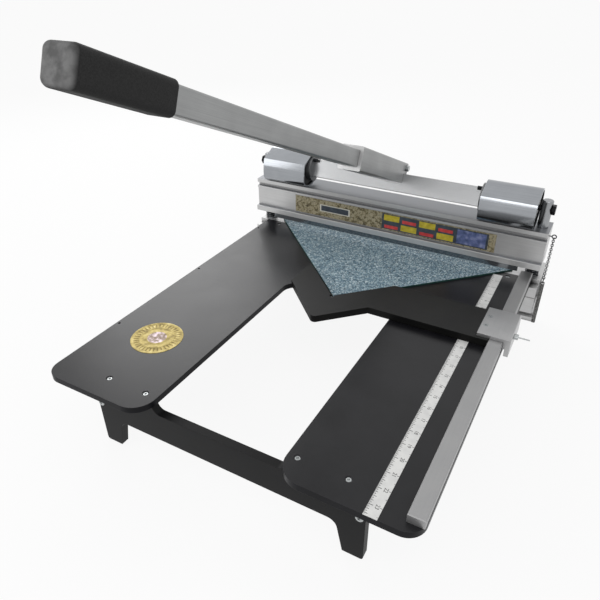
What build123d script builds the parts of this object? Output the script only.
"""Laminate cutter: a lever shear for flooring planks on a low U-shaped table.

Millimetres. Z is up and the floor is z = 0. X runs across the machine from its
middle plane. Y runs from the operator at the front to the head at the back, and
y = 0 is the middle of the long foot under the head.
"""

import os
from math import cos, degrees, dist, pi, radians, sin, sqrt

from build123d import *

os.makedirs("parts", exist_ok=True)

# Clearances
running_fit = 0.05
running_gap = 0.3
seat_fit = 0.02

# Head base, the width that the rest across the machine follows
base_w = 600.0

# Table sheet
table_top_z = 125.7
table_side_inset = 19.0
table_w = base_w - 2 * table_side_inset
right_wing_extra = 5.5
table_l = 616.0
table_t = 9.5
table_corner_r = 25.0
gap_w = 206.0
gap_l = 398.0
gap_shift = 3.5
gap_root_r = 25.0
gap_mouth_r = 33.0

# Section of the head base
deck_d = 76.2
deck_t = 8.0
shelf_d = 17.8
shelf_t = 6.0
step_wall_t = 8.0
base_wall_t = 5.0
chamber_d = 64.8
chamber_bottom_z = 63.5
chamber_floor_t = 6.0
web_t = 7.6
foot_w = 17.8
foot_t = 9.0
base_groove_w = 2.0
base_groove_d = 1.0
base_groove_z = 95.0
base_edge_r = 1.0

# Guide rods and their springs
rod_d = 19.05
rod_end_inset = 18.0
rod_x = base_w / 2 - rod_end_inset
rod_inset = 15.2
rod_over_pivot = 15.8
rod_chamfer = 1.5
spring_wire_d = 2.2
spring_outer_d = 24.5
spring_turns = 5.5
spring_grind = 0.5
spring_close_share = 0.37

# Blade beam
beam_end_inset = 3.0
beam_w = base_w - 2 * beam_end_inset
beam_clear = 26.7
beam_h = 69.8
beam_front_inset = 12.7
flange_d = 55.9
flange_t = 7.6
beam_groove_h = 7.6
beam_groove_d = 6.0
beam_rib_h = 3.8
beam_recess_d = 2.0
beam_lip_h = 11.4
beam_lip_out = 6.3
beam_wall_t = 8.0
beam_skin_t = 3.0
beam_edge_r = 0.8
block_w = 34.5
bushing_wall_t = 1.25
bushing_l = 20.0
block_screw_l = 20.0
block_screw_inset = 12.0

# Blade and its clamp
blade_end_gap = 3.5
blade_l = beam_w - 2 * (block_w + blade_end_gap)
blade_t = 2.5
blade_h = 46.0
blade_gap = 12.2
blade_bevel_h = 9.0
blade_edge_t = 0.3
clamp_t = 8.0
clamp_h = 29.0
clamp_end_gap = 2.0
clamp_screw_count = 6
clamp_screw_inset = 19.0
clamp_screw_pitch = (blade_l - 2 * clamp_screw_inset) / (clamp_screw_count - 1)
clamp_screw_drop = 5.7
clamp_screw_head_d = 7.0
clamp_screw_head_t = 4.0

# Board lying on the table
panel_t = 3.0
panel_side_inset = 30.0
panel_behind_step = 15.0
panel_half_w = table_w / 2 - panel_side_inset
panel_tip_w = 2.0

# Lever motion
cam_rate = 17.0
stop_gap = 0.3
stroke = blade_gap - panel_t - stop_gap
lever_swing = stroke / cam_rate

# Roller cams, in distances from the pivot
cam_r = 38.2
cam_l = 95.7
cam_rod_inset = 11.0
cam_lead = radians(4)
cam_front_y = 43.0
cam_front_z = 18.0
cam_crease_y = 38.5
cam_crease_z = 17.0
cam_top_y = 6.0
cam_top_z = 31.0
cam_back_y = 28.0
cam_back_z = 2.0
cam_wall_t = 3.0
cam_liner_t = 2.5
cam_liner_inset = 0.5
cam_core_inset = 3.0
cam_boss_r = 26.5
cam_boss_out = 5.0
cam_screw_y = 9.0
cam_screw_z = 20.0
cam_screw_head_d = 7.0
cam_screw_head_l = 8.0
cam_screw_d = 4.0
cam_screw_bite = 12.0

# Cross bar, sleeve, handle bar and grip, in the lever's own plane
lever_rise = radians(22.6)
bar_h = 35.5
bar_d = 20.0
bar_grip_l = 50.0
sleeve_w = 39.0
sleeve_reach = 232.0
sleeve_edge_r = 3.0
handle_w = 27.3
handle_wall_t = 3.0
handle_edge_r = 2.5
handle_offset = 19.3
handle_root = 20.0
grip_w = 36.4
grip_h = 33.4
grip_start = 675.0
grip_l = 113.2
grip_edge_r = 7.0
grip_tip_r = 6.5
grip_root_r = 2.5
grip_end_t = 5.0
bar_edge_r = 1.0
sleeve_bolt_d = 6.0
sleeve_bolt_af = 10.0
sleeve_bolt_back = 2.0
sleeve_bolt_up = 29.0
sleeve_bolt_out = 5.0

# Pivot bolts
pivot_bolt_d = 10.0
pivot_bolt_af = 16.0
pivot_bolt_head_t = 5.5
pivot_bolt_reach = 38.0

# Front leg plate
leg_plate_t = 12.7
leg_setback = 29.8
leg_plate_inset = 66.5
leg_plate_w = table_w - 2 * leg_plate_inset
upstand_clear = 3.0
upstand_gap_w = gap_w + 2 * upstand_clear
upstand_r = 12.0
crossbar_top_z = 99.8
crossbar_h = 49.0
leg_top_w = 39.0
leg_foot_w = 28.5
leg_top_gap_w = leg_plate_w - 2 * leg_top_w
leg_foot_gap_w = leg_plate_w - 2 * leg_foot_w
leg_root_r = 14.0
leg_toe_r = 4.0

# Screws of the table and the leg plate
table_screw_d = 4.2
table_screw_head_d = 9.0
table_screw_l = 24.0
screw_head_angle = 90
table_screw_sink = 0.2
table_screw_inset = 14.0
table_screw_outset = 27.0
table_screw_x = (upstand_gap_w / 2 + table_screw_inset, leg_plate_w / 2 - table_screw_outset)
head_screw_side = 35.0
head_screw_x = table_w / 2 - head_screw_side
head_screw_inset = 13.0
head_screw_l = 15.0
leg_bolt_d = 6.0
leg_bolt_head_d = 11.0
leg_bolt_head_t = 3.4
leg_bolt_nut_af = 10.0
leg_bolt_nut_t = 5.0
leg_bolt_inset = 7.5
leg_bolt_x = leg_plate_w / 2 - leg_bolt_inset
leg_bolt_z = 77.5
socket_d = 3.4
socket_depth = 1.4
edge_hole_d = 4.2
edge_hole_inset = 5.4
edge_hole_pitch = 209.5
edge_hole_first = 51.0
edge_hole_count = 3

# Ruler, rail and disc
ruler_w = 17.0
ruler_side = 52.0
ruler_x = table_w / 2 - ruler_side
ruler_t = 0.4
ruler_start = 16.0
rail_w = 21.0
rail_side = 11.0
rail_x = table_w / 2 + right_wing_extra - rail_side
rail_front_inset = 13.8
rail_back_gap = 1.0
rail_edge_r = 1.0
rail_screw_count = 4
rail_screw_inset = 34.2
rail_screw_d = 5.0
rail_screw_head_d = 9.0
rail_screw_head_t = 3.0
rail_screw_bite = 8.0
disc_d = 82.0
disc_t = 1.0
disc_sink = 0.5
disc_side = 87.0
disc_x = disc_side - table_w / 2
disc_inset = 471.9

# Fence
fence_lift = 0.7
fence_t = 12.0
fence_half_angle = radians(45)
fence_apex_clear = 11.0
fence_arm_w = 52.0
fence_left_x = 88.0
fence_arm_ahead = 4.5
fence_arm_depth = 87.5
fence_relief_d = 8.0
fence_nose_r = 8.0
fence_corner_r = 3.0

# Saddle of the fence and its screws
saddle_in = 29.7
saddle_out = 21.0
saddle_left_x = rail_x - saddle_in
saddle_right_x = rail_x + saddle_out
saddle_wall_t = 7.0
saddle_top_t = 5.1
saddle_behind_apex = 2.0
saddle_l = 81.0
saddle_drop = 11.4
saddle_edge_r = 1.5
fence_screw_l = 14.0
fence_screw_pitch = 28.0
fence_screw_inset = 7.0
thumb_d = 5.0
thumb_hub_d = 9.0
thumb_hub_l = 6.0
thumb_wing_w = 12.0
thumb_wing_t = 2.0
thumb_wing_l = 17.0
thumb_tip_r = 0.6
thumb_wing_turn = radians(-35)
thumb_setback = 31.6
thumb_up = 7.5

# Label in the beam's recess
label_t = 0.3
label_h = 36.0
label_end_inset = 88.5
label_l = beam_w - 2 * label_end_inset
label_x = 4.5

# Eye, chain and sharpening stone
eye_wire_d = 2.0
eye_r = 3.4
eye_shank_l = 5.2
eye_bite = 6.0
eye_drop = 10.1
eye_y = 5.0
link_wire_d = 1.3
link_in_w = 2.3
link_in_l = 4.245
link_slack = 0.15
link_count = 20
ring_wire_d = 1.4
ring_r = 5.0
stone_w = 6.9
stone_t = 3.0
stone_l = 89.0
stone_hole_d = 4.0
stone_hole_drop = 3.5
stone_end_r = 2.0
stone_edge_r = 0.5

# Places worked out from the sizes above
step_y = foot_w / 2 - deck_d
table_front_y = step_y - table_l
table_under_z = table_top_z - table_t
leg_mid_y = table_front_y + leg_setback + leg_plate_t / 2
rod_y = step_y + rod_inset
rod_r = rod_d / 2
beam_under_z = table_top_z + beam_clear
beam_top_z = beam_under_z + beam_h
beam_front_y = step_y - beam_front_inset
cam_centre_y = -cam_rate * cos(lever_swing / 2)
cam_centre_z = cam_rate * sin(lever_swing / 2)
pivot_y = rod_y
pivot_z = beam_top_z + running_gap + cam_r - cam_centre_z
cam_out_x = rod_x - cam_rod_inset
cam_in_x = cam_out_x - cam_l
recess_y = beam_front_y + beam_recess_d
skin_y = recess_y + beam_skin_t
blade_edge_z = table_top_z + blade_gap
fence_under_z = table_top_z + fence_lift
fence_top_z = fence_under_z + fence_t
rail_top_z = fence_top_z - running_gap
saddle_top_z = fence_top_z + saddle_top_t
eye_x = beam_w / 2 + eye_shank_l + eye_r
eye_z = beam_top_z - eye_drop
eye_mid_y = step_y + eye_y

SIDES = (("left", -1), ("right", 1))


def span_box(x_span, y_span, z_span, mode=Mode.ADD):
    """Adds or cuts the block that fills three spans."""
    spans = (x_span, y_span, z_span)
    middle = [(low + high) / 2 for low, high in spans]
    with Locations(tuple(middle)):
        Box(*(high - low for low, high in spans), mode=mode)


def span_rect(u_span, v_span, mode=Mode.ADD):
    """Adds or cuts the rectangle that fills two spans of the sketch."""
    with Locations(((u_span[0] + u_span[1]) / 2, (v_span[0] + v_span[1]) / 2)):
        Rectangle(u_span[1] - u_span[0], v_span[1] - v_span[0], mode=mode)


def across(x, y=0, z=0):
    """The plane of constant x whose sketches are drawn in (y, z)."""
    return Plane(origin=(x, y, z), x_dir=(0, 1, 0), z_dir=(1, 0, 0))


def facing_back(y, x=0, z=0):
    """The plane of constant y, facing the back, whose sketches are drawn in (-x, z)."""
    return Plane(origin=(x, y, z), x_dir=(-1, 0, 0), z_dir=(0, 1, 0))


def countersunk_screw(x, y, top_z, length):
    """Adds one flat-headed screw with a hexagon socket, standing head up."""
    head_h = (table_screw_head_d - table_screw_d) / 2
    with Locations((x, y, top_z - head_h / 2)):
        Cone(table_screw_d / 2, table_screw_head_d / 2, head_h)
    with Locations((x, y, top_z - (head_h + length) / 2)):
        Cylinder(table_screw_d / 2, length - head_h)
    with Locations((x, y, top_z - socket_depth / 2)):
        Cylinder(socket_d / 2, socket_depth, mode=Mode.SUBTRACT)


def screw_seat(head_sink, depth=None):
    """Cuts the hole of one flat-headed screw whose head lies this far below the face."""
    head_r = table_screw_head_d / 2 + seat_fit + head_sink
    CounterSinkHole(table_screw_d / 2 + seat_fit, head_r, depth, screw_head_angle)


def leg_screw_places():
    """The screws that go through the table into the leg plate."""
    return [(side * x, leg_mid_y) for x in table_screw_x for side in (-1, 1)]


def head_screw_places():
    """The screws that go through the table into the shelf of the base."""
    return [(side * head_screw_x, step_y - head_screw_inset) for side in (-1, 1)]


def rail_screw_places():
    """The screws that come up through the table into the fence rail."""
    first_y = table_front_y + rail_front_inset + rail_screw_inset
    last_y = step_y - rail_back_gap - rail_screw_inset
    pitch = (last_y - first_y) / (rail_screw_count - 1)
    return [(rail_x, first_y + n * pitch) for n in range(rail_screw_count)]


# Table

gap_left_x = gap_shift - gap_w / 2
gap_right_x = gap_shift + gap_w / 2
gap_root_y = table_front_y + gap_l
edge_hole_x = edge_hole_inset - table_w / 2

with BuildPart() as table_top:
    with BuildSketch(Plane.XY.offset(table_under_z)) as outline:
        span_rect((-table_w / 2, table_w / 2 + right_wing_extra), (table_front_y, step_y))
        span_rect((gap_left_x, gap_right_x), (table_front_y, gap_root_y), mode=Mode.SUBTRACT)
        front_points = outline.vertices().group_by(Axis.Y)[0].sort_by(Axis.X)
        outer_points = [front_points[0], front_points[-1]]
        fillet(outer_points, table_corner_r)
        mouth_points = outline.vertices().filter_by(
            lambda point: point.Y < table_front_y + table_corner_r / 2
            and abs(point.X - gap_shift) < gap_w / 2 + table_corner_r / 2)
        fillet(mouth_points, gap_mouth_r)
        root_points = outline.vertices().filter_by(
            lambda point: abs(point.Y - gap_root_y) < table_t)
        fillet(root_points, gap_root_r)
    extrude(amount=table_t)
    for place in leg_screw_places() + head_screw_places():
        with Locations((*place, table_top_z)):
            screw_seat(table_screw_sink)
    for n in range(edge_hole_count):
        with Locations((edge_hole_x, step_y - edge_hole_first - n * edge_hole_pitch, table_top_z)):
            Hole(edge_hole_d / 2)
    for place in rail_screw_places():
        with Locations((*place, table_top_z)):
            Hole(rail_screw_d / 2 + seat_fit)
    with Locations((disc_x, step_y - disc_inset, table_top_z - disc_sink / 2)):
        Cylinder(disc_d / 2 + running_fit, disc_sink, mode=Mode.SUBTRACT)
table_top.part.label = "table_top"
export_step(table_top.part, "parts/table_top.step")

with BuildPart() as badge_disc:
    with Locations((disc_x, step_y - disc_inset, table_top_z - disc_sink + disc_t / 2)):
        Cylinder(disc_d / 2, disc_t)
    chamfer(badge_disc.faces().sort_by(Axis.Z)[-1].edges(), (disc_t - disc_sink) / 2)
badge_disc.part.label = "badge_disc"
export_step(badge_disc.part, "parts/badge_disc.step")

with BuildPart() as table_screws:
    for place in leg_screw_places():
        countersunk_screw(*place, table_top_z - table_screw_sink, table_screw_l)
    for place in head_screw_places():
        countersunk_screw(*place, table_top_z - table_screw_sink, head_screw_l)
table_screws.part.label = "table_screws"
export_step(table_screws.part, "parts/table_screws.step")

# Front leg plate, drawn in the plane of constant y

leg_front_y = leg_mid_y - leg_plate_t / 2
leg_back_y = leg_mid_y + leg_plate_t / 2
crossbar_under_z = crossbar_top_z - crossbar_h

with BuildPart() as front_leg:
    with BuildSketch(facing_back(leg_front_y)) as plate:
        span_rect((-leg_plate_w / 2, leg_plate_w / 2), (0, table_under_z))
        toe_points = plate.vertices().group_by(Axis.Y)[0]
        fillet(toe_points, leg_toe_r)
        with BuildLine():
            Polyline(
                (-leg_foot_gap_w / 2, 0),
                (-leg_top_gap_w / 2, crossbar_under_z),
                (leg_top_gap_w / 2, crossbar_under_z),
                (leg_foot_gap_w / 2, 0),
                close=True,
            )
        make_face(mode=Mode.SUBTRACT)
        root_points = plate.vertices().filter_by(
            lambda point: abs(point.Y - crossbar_under_z) < leg_toe_r)
        fillet(root_points, leg_root_r)
        span_rect(
            (-upstand_gap_w / 2, upstand_gap_w / 2),
            (crossbar_top_z, table_under_z),
            mode=Mode.SUBTRACT,
        )
        notch_points = plate.vertices().filter_by(
            lambda point: abs(point.Y - crossbar_top_z) < leg_toe_r)
        fillet(notch_points, upstand_r)
    extrude(amount=leg_plate_t)
    for place in leg_screw_places():
        with Locations((*place, table_under_z)):
            Hole(table_screw_d / 2 + seat_fit, depth=table_screw_l)
    for side in (-1, 1):
        with Locations(facing_back(leg_back_y, side * leg_bolt_x, leg_bolt_z).location):
            Hole(leg_bolt_d / 2 + seat_fit)
front_leg.part.label = "front_leg"
export_step(front_leg.part, "parts/front_leg.step")

with BuildPart() as leg_bolts:
    for side in (-1, 1):
        with BuildSketch(facing_back(leg_front_y - leg_bolt_head_t, side * leg_bolt_x, leg_bolt_z)):
            Circle(leg_bolt_head_d / 2)
        extrude(amount=leg_bolt_head_t)
        with BuildSketch(facing_back(leg_front_y, side * leg_bolt_x, leg_bolt_z)):
            Circle(leg_bolt_d / 2)
        extrude(amount=leg_plate_t)
        with BuildSketch(facing_back(leg_back_y, side * leg_bolt_x, leg_bolt_z)):
            RegularPolygon(leg_bolt_nut_af / 2, 6, major_radius=False)
        extrude(amount=leg_bolt_nut_t)
        with BuildSketch(facing_back(leg_front_y - leg_bolt_head_t, side * leg_bolt_x, leg_bolt_z)):
            RegularPolygon(socket_d / 2, 6, major_radius=False)
        extrude(amount=socket_depth, mode=Mode.SUBTRACT)
    rims = leg_bolts.edges().filter_by(GeomType.CIRCLE).filter_by(
        lambda edge: edge.radius > leg_bolt_d / 2 + seat_fit).group_by(Axis.Y)[0]
    fillet(rims, leg_bolt_head_t / 2)
leg_bolts.part.label = "leg_bolts"
export_step(leg_bolts.part, "parts/leg_bolts.step")

# Head base, one long extrusion

shelf_y = step_y - shelf_d
base_back_y = step_y + deck_d
chamber_back_y = shelf_y + chamber_d

with BuildPart() as base_extrusion:
    with BuildSketch(across(-base_w / 2)) as section:
        span_rect((step_y, base_back_y), (table_top_z - deck_t, table_top_z))
        span_rect((step_y, step_y + step_wall_t), (table_under_z - shelf_t, table_top_z))
        span_rect((shelf_y, step_y + step_wall_t), (table_under_z - shelf_t, table_under_z))
        span_rect((shelf_y, shelf_y + base_wall_t), (chamber_bottom_z, table_under_z))
        span_rect((shelf_y, chamber_back_y), (chamber_bottom_z, chamber_bottom_z + chamber_floor_t))
        span_rect((chamber_back_y - base_wall_t, chamber_back_y), (chamber_bottom_z, table_top_z))
        span_rect((base_back_y - web_t, base_back_y), (0, table_top_z))
        span_rect((base_back_y - foot_w, base_back_y), (0, foot_t))
        span_rect(
            (shelf_y, shelf_y + base_groove_d),
            (base_groove_z, base_groove_z + base_groove_w),
            mode=Mode.SUBTRACT,
        )
        back_corners = section.vertices().group_by(Axis.X)[-1]
        fillet(back_corners, base_edge_r)
    extrude(amount=base_w)
    for side in (-1, 1):
        with Locations((side * rod_x, rod_y, table_top_z)):
            Hole(rod_r + seat_fit, depth=table_top_z - chamber_bottom_z)
    for place in head_screw_places():
        with Locations((*place, table_under_z)):
            Hole(table_screw_d / 2 + seat_fit, depth=shelf_t)
base_extrusion.part.label = "base_extrusion"
export_step(base_extrusion.part, "parts/base_extrusion.step")

# Guide rods, bored across for the pivot bolts

rod_top_z = pivot_z + rod_over_pivot
rod_l = rod_top_z - chamber_bottom_z

for name, side in SIDES:
    with BuildPart() as guide_rod:
        with Locations((side * rod_x, rod_y, chamber_bottom_z + rod_l / 2)):
            Cylinder(rod_r, rod_l)
        chamfer(guide_rod.faces().sort_by(Axis.Z)[-1].edges(), rod_chamfer)
        with BuildSketch(across(side * rod_x, pivot_y, pivot_z)):
            Circle(pivot_bolt_d / 2 + seat_fit)
        extrude(amount=rod_d, both=True, mode=Mode.SUBTRACT)
    guide_rod.part.label = name + "_guide_rod"
    export_step(guide_rod.part, "parts/" + name + "_guide_rod.step")

with BuildPart() as pivot_bolts:
    for name, side in SIDES:
        head_x = side * (rod_x + rod_r)
        bolt_end_x = side * (cam_out_x - pivot_bolt_reach)
        with BuildSketch(across(head_x, pivot_y, pivot_z)):
            RegularPolygon(pivot_bolt_af / 2, 6, major_radius=False)
        extrude(amount=side * pivot_bolt_head_t)
        with BuildSketch(across(head_x, pivot_y, pivot_z)):
            Circle(pivot_bolt_d / 2)
        extrude(amount=bolt_end_x - head_x)
pivot_bolts.part.label = "pivot_bolts"
export_step(pivot_bolts.part, "parts/pivot_bolts.step")

# Return springs: one wire each, closed towards the ends and ground flat

spring_r = (spring_outer_d - spring_wire_d) / 2
spring_rise = beam_clear - spring_wire_d + 2 * spring_grind


def spring_point(share):
    """A point of the wire's middle line, and its direction, at a share of its length."""
    turn = 2 * pi * spring_turns * share
    rise = share - spring_close_share * sin(2 * pi * share) / (2 * pi)
    climb = 1 - spring_close_share * cos(2 * pi * share)
    z = table_top_z + spring_wire_d / 2 - spring_grind + spring_rise * rise
    speed = 2 * pi * spring_turns * spring_r
    point = Vector(spring_r * cos(turn), spring_r * sin(turn), z)
    heading = Vector(-speed * sin(turn), speed * cos(turn), spring_rise * climb)
    return point, heading.normalized()


def biarc(start, start_heading, end, end_heading):
    """Adds two arcs that join two points and keep both headings."""
    chord = end - start
    both = start_heading + end_heading
    spread = 2 * (1 - start_heading.dot(end_heading))
    along = chord.dot(both)
    reach = (sqrt(along ** 2 + spread * chord.dot(chord)) - along) / spread
    first_corner = start + start_heading * reach
    second_corner = end - end_heading * reach
    joint = (first_corner + second_corner) * 0.5
    TangentArc(start, joint, tangent=start_heading)
    TangentArc(joint, end, tangent=second_corner - first_corner)


def least_spring_gap():
    """The least clear distance between one turn of the wire and another."""
    steps_per_turn = 24
    steps = int(spring_turns * steps_per_turn)
    points = [tuple(spring_point(n / steps)[0]) for n in range(steps + 1)]
    return min(
        dist(points[a], points[b])
        for a in range(steps + 1)
        for b in range(a + steps_per_turn // 2, steps + 1)
    ) - spring_wire_d


print("least gap of a return spring to itself:", round(least_spring_gap(), 2), "mm")

for name, side in SIDES:
    middle = Vector(side * rod_x, rod_y, 0)
    quarters = round(4 * spring_turns)
    with BuildPart() as return_spring:
        with BuildLine() as wire:
            for n in range(quarters):
                start, start_heading = spring_point(n / quarters)
                end, end_heading = spring_point((n + 1) / quarters)
                biarc(start + middle, start_heading, end + middle, end_heading)
        first_point, first_heading = spring_point(0)
        with BuildSketch(Plane(origin=first_point + middle, z_dir=first_heading)):
            Circle(spring_wire_d / 2)
        sweep(path=wire.wire())
        split(bisect_by=Plane.XY.offset(table_top_z), keep=Keep.TOP)
        split(bisect_by=Plane.XY.offset(beam_under_z), keep=Keep.BOTTOM)
    return_spring.part.label = name + "_return_spring"
    export_step(return_spring.part, "parts/" + name + "_return_spring.step")

# Ruler and fence rail on the right wing

with BuildPart() as ruler:
    span_box(
        (ruler_x - ruler_w / 2, ruler_x + ruler_w / 2),
        (table_front_y, step_y - ruler_start),
        (table_top_z, table_top_z + ruler_t),
    )
ruler.part.label = "ruler"
export_step(ruler.part, "parts/ruler.step")

with BuildPart() as fence_rail:
    span_box(
        (rail_x - rail_w / 2, rail_x + rail_w / 2),
        (table_front_y + rail_front_inset, step_y - rail_back_gap),
        (table_top_z, rail_top_z),
    )
    top_edges = fence_rail.faces().sort_by(Axis.Z)[-1].edges()
    chamfer(top_edges, rail_edge_r)
    for place in rail_screw_places():
        with Locations((*place, table_top_z + rail_screw_bite / 2)):
            Cylinder(rail_screw_d / 2 + seat_fit, rail_screw_bite, mode=Mode.SUBTRACT)
fence_rail.part.label = "fence_rail"
export_step(fence_rail.part, "parts/fence_rail.step")

with BuildPart() as rail_screws:
    shank_l = table_t + rail_screw_bite
    for place in rail_screw_places():
        with Locations((*place, table_under_z - rail_screw_head_t / 2)):
            Cylinder(rail_screw_head_d / 2, rail_screw_head_t)
        with Locations((*place, table_under_z + shank_l / 2)):
            Cylinder(rail_screw_d / 2, shank_l)
        with Locations((*place, table_under_z - rail_screw_head_t + socket_depth / 2)):
            Cylinder(socket_d / 2, socket_depth, mode=Mode.SUBTRACT)
rail_screws.part.label = "rail_screws"
export_step(rail_screws.part, "parts/rail_screws.step")

# Board in front of and under the blade

panel_apex_inset = panel_half_w - panel_behind_step

with BuildPart() as support_panel:
    with BuildSketch(Plane.XY.offset(table_top_z)):
        with BuildLine():
            Polyline(
                (0, step_y - panel_apex_inset),
                (panel_half_w - panel_tip_w, step_y + panel_behind_step - panel_tip_w),
                (panel_half_w - panel_tip_w, step_y + panel_behind_step),
                (panel_tip_w - panel_half_w, step_y + panel_behind_step),
                (panel_tip_w - panel_half_w, step_y + panel_behind_step - panel_tip_w),
                close=True,
            )
        make_face()
    extrude(amount=panel_t)
support_panel.part.label = "support_panel"
export_step(support_panel.part, "parts/support_panel.step")

# Blade beam: flange, groove, rib, recess and lip, with a rebate for the blade

recess_top_z = beam_top_z - flange_t - beam_groove_h - beam_rib_h
recess_bottom_z = beam_under_z + beam_lip_h
blade_top_z = blade_edge_z + blade_h
clamp_under_z = beam_under_z + running_gap
clamp_screw_z = beam_under_z + clamp_screw_drop
clamp_y = skin_y + blade_t
beam_inner_y = recess_y + beam_wall_t
flange_back_y = beam_front_y + flange_d


def clamp_screw_places():
    """The x places of the screws that clamp the blade."""
    middle = (clamp_screw_count - 1) / 2
    return [(n - middle) * clamp_screw_pitch for n in range(clamp_screw_count)]


def block_screw_places(side):
    """The two screws that hold a bearing block under the flange."""
    block_mid_x = side * (beam_w - block_w) / 2
    block_back_y = flange_back_y - block_screw_inset / 2
    return [(block_mid_x - side * block_screw_inset, block_back_y), (block_mid_x, block_back_y)]


with BuildPart() as blade_beam:
    with BuildSketch(across(-beam_w / 2)):
        span_rect((beam_front_y, flange_back_y), (beam_top_z - flange_t, beam_top_z))
        span_rect((recess_y, beam_inner_y), (beam_under_z, beam_top_z))
        span_rect((beam_front_y, beam_inner_y), (recess_top_z, recess_top_z + beam_rib_h))
        span_rect((beam_front_y - beam_lip_out, beam_inner_y), (beam_under_z, recess_bottom_z))
        span_rect(
            (beam_front_y, beam_front_y + beam_groove_d),
            (recess_top_z + beam_rib_h, beam_top_z - flange_t),
            mode=Mode.SUBTRACT,
        )
        span_rect((skin_y, beam_inner_y), (beam_under_z, blade_top_z), mode=Mode.SUBTRACT)
    extrude(amount=beam_w)
    lip_edges = blade_beam.edges().filter_by(Axis.X).group_by(Axis.Y)[0]
    fillet(lip_edges, beam_edge_r)
    for side in (-1, 1):
        with Locations((side * rod_x, rod_y, beam_top_z)):
            Hole(rod_r + running_gap, depth=flange_t)
        for place in block_screw_places(side):
            with Locations((*place, beam_top_z)):
                screw_seat(0, flange_t)
    for x in clamp_screw_places():
        with Locations(facing_back(skin_y, x, clamp_screw_z).location):
            Hole(table_screw_d / 2 + seat_fit, depth=beam_lip_out)
blade_beam.part.label = "blade_beam"
export_step(blade_beam.part, "parts/blade_beam.step")

# Bearing blocks under the flange ends, their bushings and screws

block_top_z = beam_top_z - flange_t
bushing_r = rod_r + running_fit + bushing_wall_t

for name, side in SIDES:
    with BuildPart() as bearing_block:
        block_x = (beam_w / 2 - block_w, beam_w / 2)
        span_box(
            sorted((side * block_x[0], side * block_x[1])),
            (beam_inner_y, flange_back_y),
            (beam_under_z, block_top_z),
        )
        with Locations((side * rod_x, rod_y, block_top_z)):
            Hole(bushing_r + seat_fit)
        for place in block_screw_places(side):
            with Locations((*place, block_top_z)):
                Hole(table_screw_d / 2 + seat_fit, depth=block_screw_l)
        if side > 0:
            with BuildSketch(across(beam_w / 2, eye_mid_y, eye_z)):
                Circle(eye_wire_d / 2 + seat_fit)
            extrude(amount=-eye_bite, mode=Mode.SUBTRACT)
    bearing_block.part.label = name + "_bearing_block"
    export_step(bearing_block.part, "parts/" + name + "_bearing_block.step")

    with BuildPart() as bushings:
        for foot_z in (beam_under_z, block_top_z - bushing_l):
            with BuildSketch(Plane.XY.offset(foot_z)):
                with Locations((side * rod_x, rod_y)):
                    Circle(bushing_r)
                    Circle(rod_r + running_fit, mode=Mode.SUBTRACT)
            extrude(amount=bushing_l)
    bushings.part.label = name + "_bushings"
    export_step(bushings.part, "parts/" + name + "_bushings.step")

with BuildPart() as block_screws:
    for name, side in SIDES:
        for place in block_screw_places(side):
            countersunk_screw(*place, beam_top_z, block_screw_l)
block_screws.part.label = "block_screws"
export_step(block_screws.part, "parts/block_screws.step")

# Blade, clamp bar and clamp screws behind the lip

blade_back_y = skin_y + blade_t
clamp_back_y = blade_back_y + clamp_t
clamp_half_l = blade_l / 2 - clamp_end_gap

with BuildPart() as blade:
    with BuildSketch(across(-blade_l / 2)):
        with BuildLine():
            Polyline(
                (skin_y, blade_edge_z),
                (skin_y + blade_edge_t, blade_edge_z),
                (blade_back_y, blade_edge_z + blade_bevel_h),
                (blade_back_y, blade_top_z),
                (skin_y, blade_top_z),
                close=True,
            )
        make_face()
    extrude(amount=blade_l)
    for x in clamp_screw_places():
        with Locations(facing_back(blade_back_y, x, clamp_screw_z).location):
            Hole(table_screw_d / 2 + seat_fit)
blade.part.label = "blade"
export_step(blade.part, "parts/blade.step")

with BuildPart() as blade_clamp:
    span_box(
        (-clamp_half_l, clamp_half_l),
        (blade_back_y, clamp_back_y),
        (clamp_under_z, clamp_under_z + clamp_h),
    )
    for x in clamp_screw_places():
        with Locations(facing_back(clamp_back_y, x, clamp_screw_z).location):
            Hole(table_screw_d / 2 + seat_fit)
blade_clamp.part.label = "blade_clamp"
export_step(blade_clamp.part, "parts/blade_clamp.step")

with BuildPart() as clamp_screws:
    for x in clamp_screw_places():
        with BuildSketch(facing_back(clamp_back_y, x, clamp_screw_z)):
            Circle(clamp_screw_head_d / 2)
        extrude(amount=clamp_screw_head_t)
        with BuildSketch(facing_back(clamp_back_y, x, clamp_screw_z)):
            Circle(table_screw_d / 2)
        extrude(amount=-(clamp_t + blade_t + beam_lip_out))
        with BuildSketch(facing_back(clamp_back_y + clamp_screw_head_t, x, clamp_screw_z)):
            RegularPolygon(socket_d / 2, 6, major_radius=False)
        extrude(amount=-socket_depth, mode=Mode.SUBTRACT)
clamp_screws.part.label = "clamp_screws"
export_step(clamp_screws.part, "parts/clamp_screws.step")

# Label strip in the beam's recess

label_mid_z = (recess_bottom_z + recess_top_z) / 2

with BuildPart() as label_strip:
    span_box(
        (label_x - label_l / 2, label_x + label_l / 2),
        (recess_y - label_t, recess_y),
        (label_mid_z - label_h / 2, label_mid_z + label_h / 2),
    )
label_strip.part.label = "label_strip"
export_step(label_strip.part, "parts/label_strip.step")

# Roller cams: a polished shell, a black liner and a core with a boss, on the pivot bolt

bar_end_x = cam_in_x + bar_grip_l
boss_x = cam_in_x - cam_boss_out
screw_head_x = boss_x - cam_screw_head_l


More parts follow.
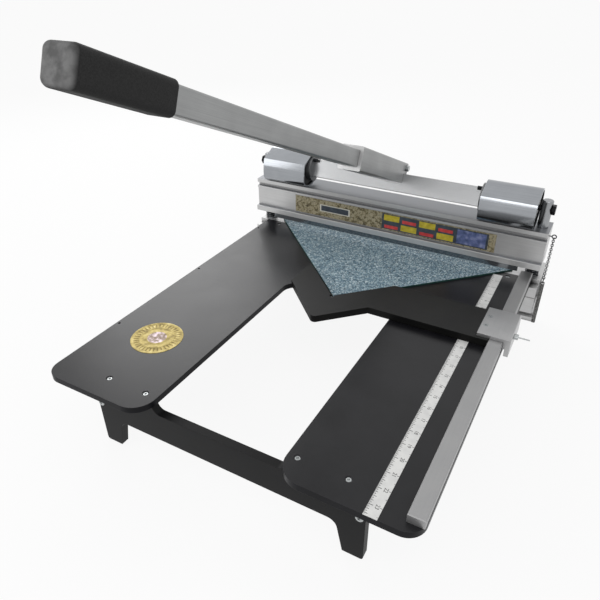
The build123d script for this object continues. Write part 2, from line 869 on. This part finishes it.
# A cam's outline about the pivot, with an arc of even lift underneath
with BuildSketch() as cam_outline:
    with BuildLine():
        sweep_angle = degrees(lever_swing + cam_lead)
        contact = CenterArc((cam_centre_y, cam_centre_z), cam_r, -90, -sweep_angle)
        front_low = TangentArc(contact @ 1, (-cam_front_y, -cam_front_z), tangent=contact % 1)
        front_up = TangentArc(front_low @ 1, (-cam_crease_y, cam_crease_z), tangent=front_low % 1)
        back_low = TangentArc(contact @ 0, (cam_back_y, cam_back_z), tangent=(1, 0))
        back_up = TangentArc(back_low @ 1, (-cam_top_y, cam_top_z), tangent=back_low % 1)
        Line(back_up @ 1, front_up @ 1)
    make_face()


def bar_section(fit):
    """Draws the cross bar's section, square to the handle, with a fit all round."""
    Rectangle(bar_d + 2 * fit, bar_h + 2 * fit, rotation=-degrees(lever_rise))


for name, side in SIDES:
    with BuildPart() as cam_shell:
        with BuildSketch(across(side * cam_in_x, pivot_y, pivot_z)):
            add(cam_outline.sketch)
            offset(amount=-cam_wall_t, mode=Mode.SUBTRACT)
        extrude(amount=side * cam_l)
    cam_shell.part.label = name + "_cam_shell"
    export_step(cam_shell.part, "parts/" + name + "_cam_shell.step")

    with BuildPart() as cam_liner:
        with BuildSketch(across(side * (cam_in_x + cam_liner_inset), pivot_y, pivot_z)):
            add(cam_outline.sketch)
            offset(amount=-cam_wall_t)
            offset(amount=-cam_liner_t, mode=Mode.SUBTRACT)
        extrude(amount=side * (cam_l - 2 * cam_liner_inset))
    cam_liner.part.label = name + "_cam_liner"
    export_step(cam_liner.part, "parts/" + name + "_cam_liner.step")

    with BuildPart() as cam_core:
        with BuildSketch(across(side * (cam_in_x + cam_core_inset), pivot_y, pivot_z)):
            add(cam_outline.sketch)
            offset(amount=-cam_wall_t - cam_liner_t)
        extrude(amount=side * (cam_l - 2 * cam_core_inset))
        with BuildSketch(across(side * boss_x, pivot_y, pivot_z)):
            add(cam_outline.sketch)
            offset(amount=-cam_wall_t - cam_liner_t)
            Circle(cam_boss_r, mode=Mode.INTERSECT)
        extrude(amount=side * (cam_boss_out + cam_core_inset))
        with BuildSketch(across(side * boss_x, pivot_y, pivot_z)):
            bar_section(seat_fit)
        extrude(amount=side * (cam_boss_out + bar_grip_l + seat_fit), mode=Mode.SUBTRACT)
        with BuildSketch(across(side * cam_out_x, pivot_y, pivot_z)):
            Circle(pivot_bolt_d / 2 + running_fit)
        extrude(amount=-side * (pivot_bolt_reach + running_gap), mode=Mode.SUBTRACT)
        with BuildSketch(across(side * boss_x, pivot_y - cam_screw_y, pivot_z + cam_screw_z)):
            Circle(cam_screw_d / 2 + seat_fit)
        extrude(amount=side * cam_screw_bite, mode=Mode.SUBTRACT)
    cam_core.part.label = name + "_cam_core"
    export_step(cam_core.part, "parts/" + name + "_cam_core.step")

with BuildPart() as cam_screws:
    for name, side in SIDES:
        screw_y = pivot_y - cam_screw_y
        screw_z = pivot_z + cam_screw_z
        with BuildSketch(across(side * screw_head_x, screw_y, screw_z)):
            Circle(cam_screw_head_d / 2)
        extrude(amount=side * cam_screw_head_l)
        with BuildSketch(across(side * boss_x, screw_y, screw_z)):
            Circle(cam_screw_d / 2)
        extrude(amount=side * cam_screw_bite)
        with BuildSketch(across(side * screw_head_x, screw_y, screw_z)):
            RegularPolygon(socket_d / 2, 6, major_radius=False)
        extrude(amount=side * socket_depth, mode=Mode.SUBTRACT)
cam_screws.part.label = "cam_screws"
export_step(cam_screws.part, "parts/cam_screws.step")

# Cross bar from cam to cam

with BuildPart() as cross_bar:
    with BuildSketch(across(-bar_end_x, pivot_y, pivot_z)):
        bar_section(0)
    extrude(amount=2 * bar_end_x)
    fillet(cross_bar.edges().filter_by(Axis.X), bar_edge_r)
cross_bar.part.label = "cross_bar"
export_step(cross_bar.part, "parts/cross_bar.step")

# Handle: sleeve on the cross bar, square tube in the sleeve, grip on the tube


def lever_plane(along):
    """The plane square to the handle, this far from the pivot, drawn in (x, upward)."""
    return Plane(
        origin=(0, pivot_y - along * cos(lever_rise), pivot_z + along * sin(lever_rise)),
        x_dir=(1, 0, 0),
        z_dir=(0, -cos(lever_rise), sin(lever_rise)),
    )


def lever_point(along, up):
    """The y and z of a place in the lever's own plane."""
    y = pivot_y - along * cos(lever_rise) + up * sin(lever_rise)
    z = pivot_z + along * sin(lever_rise) + up * cos(lever_rise)
    return y, z


with BuildPart() as handle_sleeve:
    with BuildSketch(lever_plane(-bar_d / 2)):
        with Locations((0, handle_offset)):
            RectangleRounded(sleeve_w, sleeve_w, sleeve_edge_r)
            RectangleRounded(
                handle_w + 2 * seat_fit,
                handle_w + 2 * seat_fit,
                handle_edge_r,
                mode=Mode.SUBTRACT,
            )
    extrude(amount=bar_d / 2 + sleeve_reach)
    with BuildSketch(across(-sleeve_w, pivot_y, pivot_z)):
        bar_section(seat_fit)
    extrude(amount=2 * sleeve_w, mode=Mode.SUBTRACT)
    with BuildSketch(across(-sleeve_w, *lever_point(-sleeve_bolt_back, sleeve_bolt_up))):
        Circle(sleeve_bolt_d / 2 + seat_fit)
    extrude(amount=2 * sleeve_w, mode=Mode.SUBTRACT)
handle_sleeve.part.label = "handle_sleeve"
export_step(handle_sleeve.part, "parts/handle_sleeve.step")

with BuildPart() as sleeve_bolt:
    bolt_place = lever_point(-sleeve_bolt_back, sleeve_bolt_up)
    with BuildSketch(across(-sleeve_w / 2, *bolt_place)):
        Circle(sleeve_bolt_d / 2)
    extrude(amount=sleeve_w)
    for side in (-1, 1):
        with BuildSketch(across(side * sleeve_w / 2, *bolt_place)):
            RegularPolygon(sleeve_bolt_af / 2, 6, major_radius=False)
        extrude(amount=side * sleeve_bolt_out)
sleeve_bolt.part.label = "sleeve_bolt"
export_step(sleeve_bolt.part, "parts/sleeve_bolt.step")

handle_end = grip_start + grip_l - grip_end_t

with BuildPart() as handle_bar:
    with BuildSketch(lever_plane(handle_root)):
        with Locations((0, handle_offset)):
            RectangleRounded(handle_w, handle_w, handle_edge_r)
            Rectangle(handle_w - 2 * handle_wall_t, handle_w - 2 * handle_wall_t, mode=Mode.SUBTRACT)
    extrude(amount=handle_end - handle_root)
handle_bar.part.label = "handle_bar"
export_step(handle_bar.part, "parts/handle_bar.step")

with BuildPart() as grip:
    with BuildSketch(lever_plane(grip_start)):
        with Locations((0, handle_offset)):
            RectangleRounded(grip_w, grip_h, grip_edge_r)
    extrude(amount=grip_l)
    along_handle = Axis((0, 0, 0), (0, -cos(lever_rise), sin(lever_rise)))
    fillet(grip.faces().sort_by(along_handle)[-1].edges(), grip_tip_r)
    fillet(grip.faces().sort_by(along_handle)[0].edges(), grip_root_r)
    with BuildSketch(lever_plane(grip_start)):
        with Locations((0, handle_offset)):
            RectangleRounded(handle_w + 2 * seat_fit, handle_w + 2 * seat_fit, handle_edge_r)
    extrude(amount=grip_l - grip_end_t, mode=Mode.SUBTRACT)
grip.part.label = "grip"
export_step(grip.part, "parts/grip.step")

# Fence: a V with its right arm reaching the rail

fence_apex_y = step_y - panel_apex_inset - fence_apex_clear
fence_nose_y = fence_apex_y - fence_arm_w / sin(fence_half_angle)
arm_front_y = fence_apex_y - fence_arm_ahead
arm_back_y = arm_front_y + fence_arm_depth
arm_end_x = rail_x - rail_w / 2 - running_gap
saddle_front_y = fence_apex_y + saddle_behind_apex
saddle_mid_y = saddle_front_y + saddle_l / 2
fence_screw_x = saddle_left_x + fence_screw_inset
thumb_y = saddle_front_y + thumb_setback
thumb_z = table_top_z + thumb_up


def fence_screw_places():
    """The two screws that hold the saddle on the fence's arm."""
    return [(fence_screw_x, saddle_mid_y + half * fence_screw_pitch / 2) for half in (-1, 1)]


with BuildPart() as fence_v:
    with BuildSketch(Plane.XY.offset(fence_under_z)) as outline:
        with BuildLine():
            Polyline(
                (0, fence_nose_y),
                (arm_front_y - fence_nose_y, arm_front_y),
                (arm_end_x, arm_front_y),
                (arm_end_x, arm_back_y),
                (arm_back_y - fence_apex_y, arm_back_y),
                (0, fence_apex_y),
                (-fence_left_x, fence_apex_y + fence_left_x),
                (-fence_left_x, fence_nose_y + fence_left_x),
                close=True,
            )
        make_face()
        nose = outline.vertices().sort_by(Axis.Y)[0]
        left_points = outline.vertices().group_by(Axis.X)[0]
        fillet(nose, fence_nose_r)
        fillet(left_points, fence_corner_r)
        with Locations((0, fence_apex_y)):
            Circle(fence_relief_d / 2, mode=Mode.SUBTRACT)
    extrude(amount=fence_t)
    for place in fence_screw_places():
        with Locations((*place, fence_top_z)):
            Hole(table_screw_d / 2 + seat_fit, depth=fence_screw_l - saddle_top_t)
fence_v.part.label = "fence_v"
export_step(fence_v.part, "parts/fence_v.step")

with BuildPart() as fence_saddle:
    saddle_y = (saddle_front_y, saddle_front_y + saddle_l)
    span_box((saddle_left_x, saddle_right_x), saddle_y, (fence_top_z, saddle_top_z))
    span_box(
        (saddle_right_x - saddle_wall_t, saddle_right_x),
        saddle_y,
        (table_top_z - saddle_drop, fence_top_z),
    )
    span_box(
        (rail_x + rail_w / 2 + running_gap, saddle_right_x),
        saddle_y,
        (fence_under_z, fence_top_z),
    )
    outer_edge = fence_saddle.edges().filter_by(Axis.Y).group_by(Axis.Z)[-1].sort_by(Axis.X)[-1]
    fillet(outer_edge, saddle_edge_r)
    for place in fence_screw_places():
        with Locations((*place, saddle_top_z)):
            screw_seat(0, saddle_top_t)
    with BuildSketch(across(saddle_right_x, thumb_y, thumb_z)):
        Circle(thumb_d / 2 + running_fit)
    extrude(amount=saddle_left_x - saddle_right_x, mode=Mode.SUBTRACT)
fence_saddle.part.label = "fence_saddle"
export_step(fence_saddle.part, "parts/fence_saddle.step")

with BuildPart() as fence_screws:
    for place in fence_screw_places():
        countersunk_screw(*place, saddle_top_z, fence_screw_l)
fence_screws.part.label = "fence_screws"
export_step(fence_screws.part, "parts/fence_screws.step")

# Thumb screw, which clamps the saddle on the rail

with BuildPart() as thumb_screw:
    tip_x = rail_x + rail_w / 2 + running_gap
    hub_x = saddle_right_x + running_gap
    with BuildSketch(across(tip_x, thumb_y, thumb_z)):
        Circle(thumb_d / 2)
    extrude(amount=hub_x - tip_x)
    with BuildSketch(across(hub_x, thumb_y, thumb_z)):
        Circle(thumb_hub_d / 2)
    extrude(amount=thumb_hub_l)
    with BuildSketch(across(hub_x + thumb_hub_l, thumb_y, thumb_z)):
        Rectangle(thumb_wing_w, thumb_wing_t, rotation=degrees(thumb_wing_turn))
    extrude(amount=thumb_wing_l)
    fillet(thumb_screw.faces().sort_by(Axis.X)[-1].edges(), thumb_tip_r)
thumb_screw.part.label = "thumb_screw"
export_step(thumb_screw.part, "parts/thumb_screw.step")

# Eye at the beam's right end

with BuildPart() as chain_eye:
    with Locations((eye_x, eye_mid_y, eye_z)):
        Torus(eye_r, eye_wire_d / 2, rotation=(90, 0, 0))
    with BuildSketch(across(beam_w / 2 - eye_bite, eye_mid_y, eye_z)):
        Circle(eye_wire_d / 2)
    extrude(amount=eye_bite + eye_shank_l)
chain_eye.part.label = "chain_eye"
export_step(chain_eye.part, "parts/chain_eye.step")

# Chain of links turned in alternate planes, with a ring at its end

link_end_r = (link_in_w + link_wire_d) / 2
link_straight = link_in_l - link_in_w
link_half_l = (link_in_l + link_wire_d) / 2
link_pitch = link_in_l - link_slack
eye_foot_z = eye_z - eye_r
first_link_z = eye_foot_z + (eye_wire_d + link_wire_d) / 2 + link_slack - link_half_l
last_link_z = first_link_z - (link_count - 1) * link_pitch
ring_top_z = last_link_z - link_half_l + (link_wire_d + ring_wire_d) / 2 + link_slack
ring_foot_z = ring_top_z - 2 * ring_r


# One oval link about the origin, long axis upright, flat in the plane of constant x
with BuildPart() as link:
    with BuildLine(across(0)) as loop:
        Line((link_end_r, -link_straight / 2), (link_end_r, link_straight / 2))
        CenterArc((0, link_straight / 2), link_end_r, 0, 180)
        Line((-link_end_r, link_straight / 2), (-link_end_r, -link_straight / 2))
        CenterArc((0, -link_straight / 2), link_end_r, 180, 180)
    with BuildSketch(Plane(origin=(0, link_end_r, -link_straight / 2))):
        Circle(link_wire_d / 2)
    sweep(path=loop.wire())

with BuildPart() as chain:
    for n in range(link_count):
        with Locations((eye_x, eye_mid_y, first_link_z - n * link_pitch)):
            add(link.part, rotation=(0, 0, 90 * (n % 2)))
    with Locations((eye_x, eye_mid_y, ring_top_z - ring_r)):
        Torus(ring_r, ring_wire_d / 2, rotation=(0, 90, 0))
chain.part.label = "chain"
export_step(chain.part, "parts/chain.step")

# Sharpening stone, hanging from the ring by the hole near its top

ring_in_r = ring_r - ring_wire_d / 2
ring_rise = ring_in_r - sqrt(ring_in_r ** 2 - (stone_t / 2) ** 2)
stone_hole_z = ring_foot_z - (stone_hole_d - ring_wire_d) / 2 + ring_rise + link_slack
stone_top_z = stone_hole_z + stone_hole_drop
stone_back_y = eye_mid_y + stone_t / 2

with BuildPart() as hone_stone:
    with BuildSketch(facing_back(eye_mid_y - stone_t / 2, eye_x, stone_top_z - stone_l / 2)):
        RectangleRounded(stone_w, stone_l, stone_end_r)
    extrude(amount=stone_t)
    chamfer(hone_stone.faces().sort_by(Axis.Y)[0].edges(), stone_edge_r)
    chamfer(hone_stone.faces().sort_by(Axis.Y)[-1].edges(), stone_edge_r)
    with Locations(facing_back(stone_back_y, eye_x, stone_hole_z).location):
        Hole(stone_hole_d / 2)
hone_stone.part.label = "hone_stone"
export_step(hone_stone.part, "parts/hone_stone.step")
